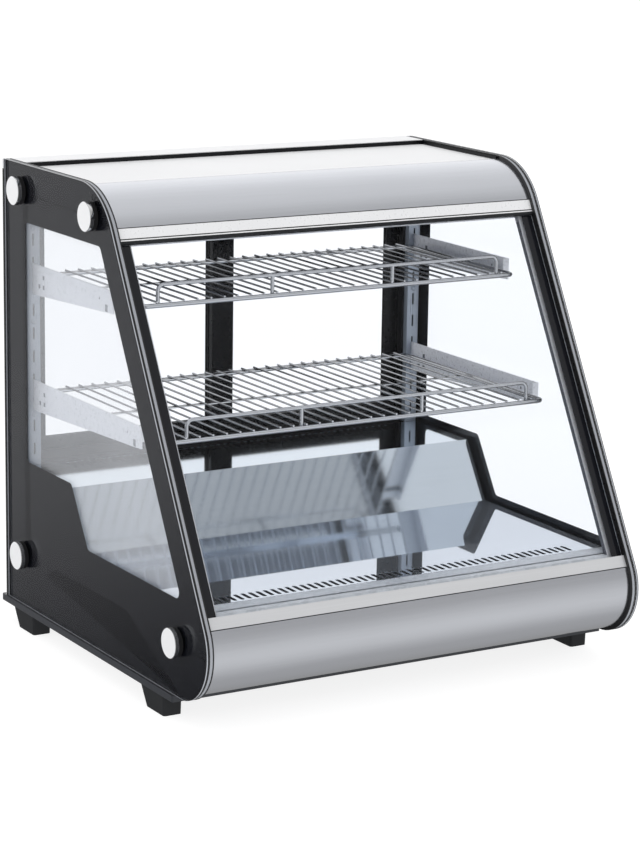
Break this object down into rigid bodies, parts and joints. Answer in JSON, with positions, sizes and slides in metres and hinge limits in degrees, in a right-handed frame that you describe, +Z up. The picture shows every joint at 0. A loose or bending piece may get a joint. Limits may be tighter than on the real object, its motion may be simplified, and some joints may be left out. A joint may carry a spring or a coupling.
{
  "type": "refrigerated countertop display case",
  "caption": "Countertop refrigerated display case with a sloping double-glazed front, black-edged side glass, wire shelves, a steel deck and sliding glass doors at the back.",
  "frame": {"origin": "on the ground under the middle of the case", "axes": "+Z up, front towards -Y, +X to the right as seen from the front"},
  "size_m": [0.7152, 0.635, 0.686],
  "materials": {
    "clear_glass": "clear float glass, polished edges",
    "black_print": "black ceramic print fired on the inner face of the glass",
    "brushed_cover": "satin brushed along the width",
    "satin_aluminium": "satin anodised extrusion",
    "spacer_aluminium": "perforated spacer bar",
    "cap_chrome": "polished turned cap",
    "black_rubber": "matt moulded rubber",
    "black_plastic": "fine matt black plastic",
    "white_steel": "white powder coat",
    "black_frame": "satin black coat",
    "polished_deck": "bright polished sheet",
    "satin_riser": "satin sheet",
    "slotted_steel": "bright zinc plated strip",
    "bracket_steel": "light grey coat",
    "shelf_chrome": "bright plated wire",
    "galvanised_tray": "light grey coated pan",
    "foam_tub": "foamed liner",
    "fin_aluminium": "bare pressed fins",
    "black_shell": "semi gloss black shell",
    "motor_steel": "grey lacquered motor",
    "display_window": "smoked red window",
    "lamp_lens": "opal lens"
  },
  "bodies": {
    "case": {"base_tray": "galvanised_tray", "feet": "black_rubber", "left_side_glass": "clear_glass", "right_side_glass": "clear_glass", "side_glass_prints": "black_print", "side_inner_glass": "clear_glass", "edge_trims": "satin_aluminium", "edge_seals": "black_rubber", "cap_discs": "cap_chrome", "cap_washers": "black_plastic", "front_glass": "clear_glass", "front_inner_glass": "clear_glass", "front_glass_print": "black_print", "glass_spacers": "spacer_aluminium", "upper_glass_channel": "satin_aluminium", "lower_glass_channel": "satin_aluminium", "glass_gasket": "black_rubber", "upper_cover": "brushed_cover", "lower_cover": "brushed_cover", "top_panel": "white_steel", "top_panel_rim": "black_plastic", "ceiling_liner": "white_steel", "light_bar": "satin_aluminium", "light_diffuser": "lamp_lens", "rear_frame": "white_steel", "door_tracks": "black_plastic", "pilasters": "slotted_steel", "pilaster_screws": "slotted_steel", "shelf_brackets": "bracket_steel", "deck": "polished_deck", "evaporator_cover": "satin_riser", "insulated_tub": "foam_tub", "evaporator_coil": "fin_aluminium", "evaporator_fan_motor": "motor_steel", "compressor": "black_shell", "condenser": "fin_aluminium", "condenser_fan_motor": "motor_steel", "service_panel": "white_steel", "controller_bezel": "black_plastic", "controller_display": "display_window", "switch_frames": "black_plastic", "cable_gland": "black_plastic"},
    "left_door": {"left_door_frame": "black_frame", "left_door_glass": "clear_glass", "left_door_pull": "black_plastic"},
    "right_door": {"right_door_frame": "black_frame", "right_door_glass": "clear_glass", "right_door_pull": "black_plastic"},
    "upper_shelf": {"upper_shelf_frame": "shelf_chrome", "upper_shelf_grid": "shelf_chrome"},
    "lower_shelf": {"lower_shelf_frame": "shelf_chrome", "lower_shelf_grid": "shelf_chrome"},
    "evaporator_fan": {"evaporator_fan_blade": "black_plastic"},
    "condenser_fan": {"condenser_fan_blade": "black_plastic"},
    "power_rocker": {"power_switch": "black_plastic"},
    "light_rocker": {"light_switch": "black_plastic"},
    "set_button": {"set_key": "black_plastic"},
    "up_button": {"up_key": "black_plastic"},
    "down_button": {"down_key": "black_plastic"}
  },
  "joints": [
    {"name": "left_door_slide", "type": "slide", "parent": "case", "child": "left_door", "axis": [1, 0, 0], "range_m": [0, 0.3]},
    {"name": "right_door_slide", "type": "slide", "parent": "case", "child": "right_door", "axis": [1, 0, 0], "range_m": [-0.3, 0]},
    {"name": "upper_shelf_lift", "type": "slide", "parent": "case", "child": "upper_shelf", "axis": [0, 0, 1], "range_m": [0, 0.011]},
    {"name": "lower_shelf_lift", "type": "slide", "parent": "case", "child": "lower_shelf", "axis": [0, 0, 1], "range_m": [0, 0.025]},
    {"name": "evaporator_fan_spin", "type": "hinge", "parent": "case", "child": "evaporator_fan", "pos_m": [0.16417, 0.1803, 0.1785], "axis": [0, 1, 0], "continuous": true},
    {"name": "condenser_fan_spin", "type": "hinge", "parent": "case", "child": "condenser_fan", "pos_m": [-0.16665, 0.00328, 0.0777], "axis": [0, 1, 0], "continuous": true},
    {"name": "power_switch_rock", "type": "hinge", "parent": "case", "child": "power_rocker", "pos_m": [0.10773, 0.3059, 0.1977], "axis": [1, 0, 0], "range_deg": [0, 18]},
    {"name": "light_switch_rock", "type": "hinge", "parent": "case", "child": "light_rocker", "pos_m": [0.14373, 0.3059, 0.1977], "axis": [1, 0, 0], "range_deg": [0, 18]},
    {"name": "set_key_press", "type": "slide", "parent": "case", "child": "set_button", "axis": [0, -1, 0], "range_m": [0, 0.0007], "stiffness_N_per_m": 400},
    {"name": "up_key_press", "type": "slide", "parent": "case", "child": "up_button", "axis": [0, -1, 0], "range_m": [0, 0.0007], "stiffness_N_per_m": 400},
    {"name": "down_key_press", "type": "slide", "parent": "case", "child": "down_button", "axis": [0, -1, 0], "range_m": [0, 0.0007], "stiffness_N_per_m": 400}
  ]
}
